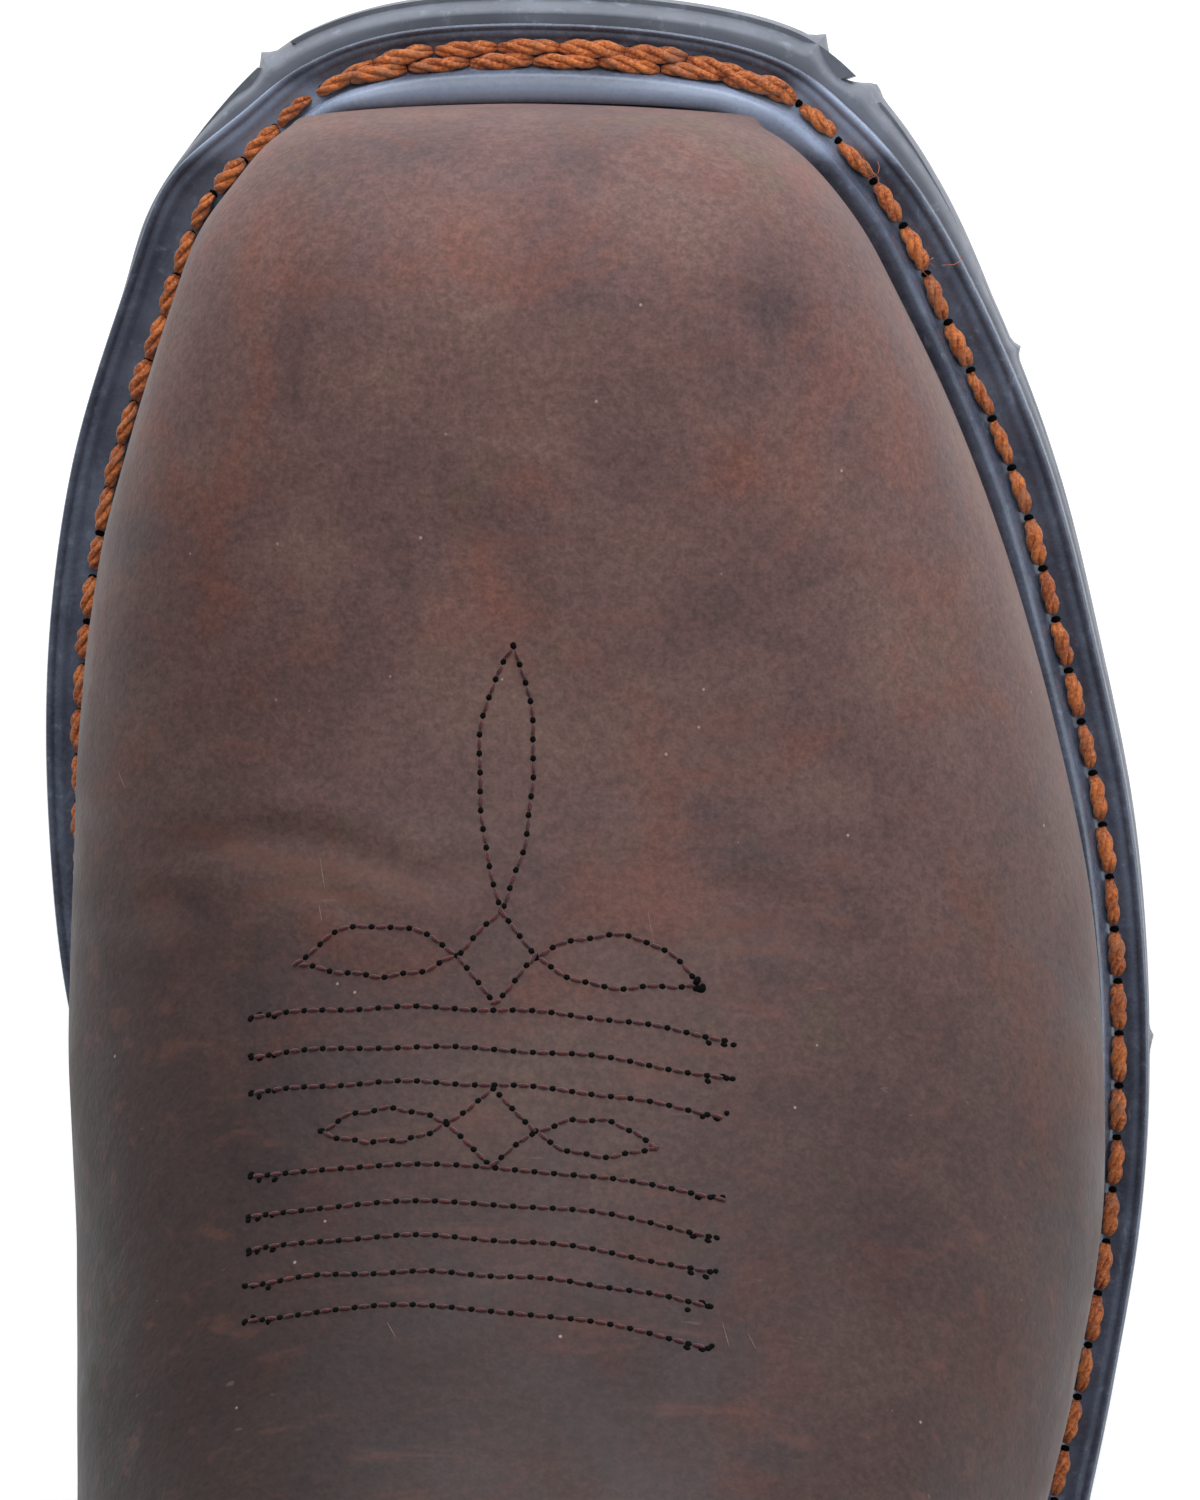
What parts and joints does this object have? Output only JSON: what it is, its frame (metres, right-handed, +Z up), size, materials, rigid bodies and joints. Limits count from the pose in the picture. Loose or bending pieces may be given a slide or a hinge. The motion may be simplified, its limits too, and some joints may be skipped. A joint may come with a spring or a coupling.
{
  "type": "western work boot",
  "caption": "Right pull-on western work boot: broad square toe, stitched storm welt, lug sole and block heel, with a tall shaft, scalloped collar and pull straps.",
  "frame": {"origin": "on the floor, at the middle of the heel's resting face", "axes": "+Y to the toe, +X to the outer side of the right foot, +Z up the shaft"},
  "size_m": [0.1236, 0.3126, 0.341],
  "materials": {
    "upper_leather": "matte oiled leather, mottled reddish brown with a soft sheen",
    "trim_leather": "darker brown leather, matte",
    "outsole_rubber": "matte black-grey moulded rubber",
    "welt_rubber": "smooth black storm welt, half gloss",
    "insole_leather": "tan footbed leather",
    "strap_webbing": "dark brown woven webbing"
  },
  "bodies": {
    "root": {"outsole": "outsole_rubber", "heel": "outsole_rubber", "welt": "welt_rubber", "insole": "insole_leather", "upper": "upper_leather", "vamp": "upper_leather", "counter": "upper_leather", "piping_inner": "trim_leather", "piping_outer": "trim_leather", "binding": "trim_leather", "pull_strap_inner": "strap_webbing", "pull_strap_outer": "strap_webbing"}
  },
  "joints": []
}
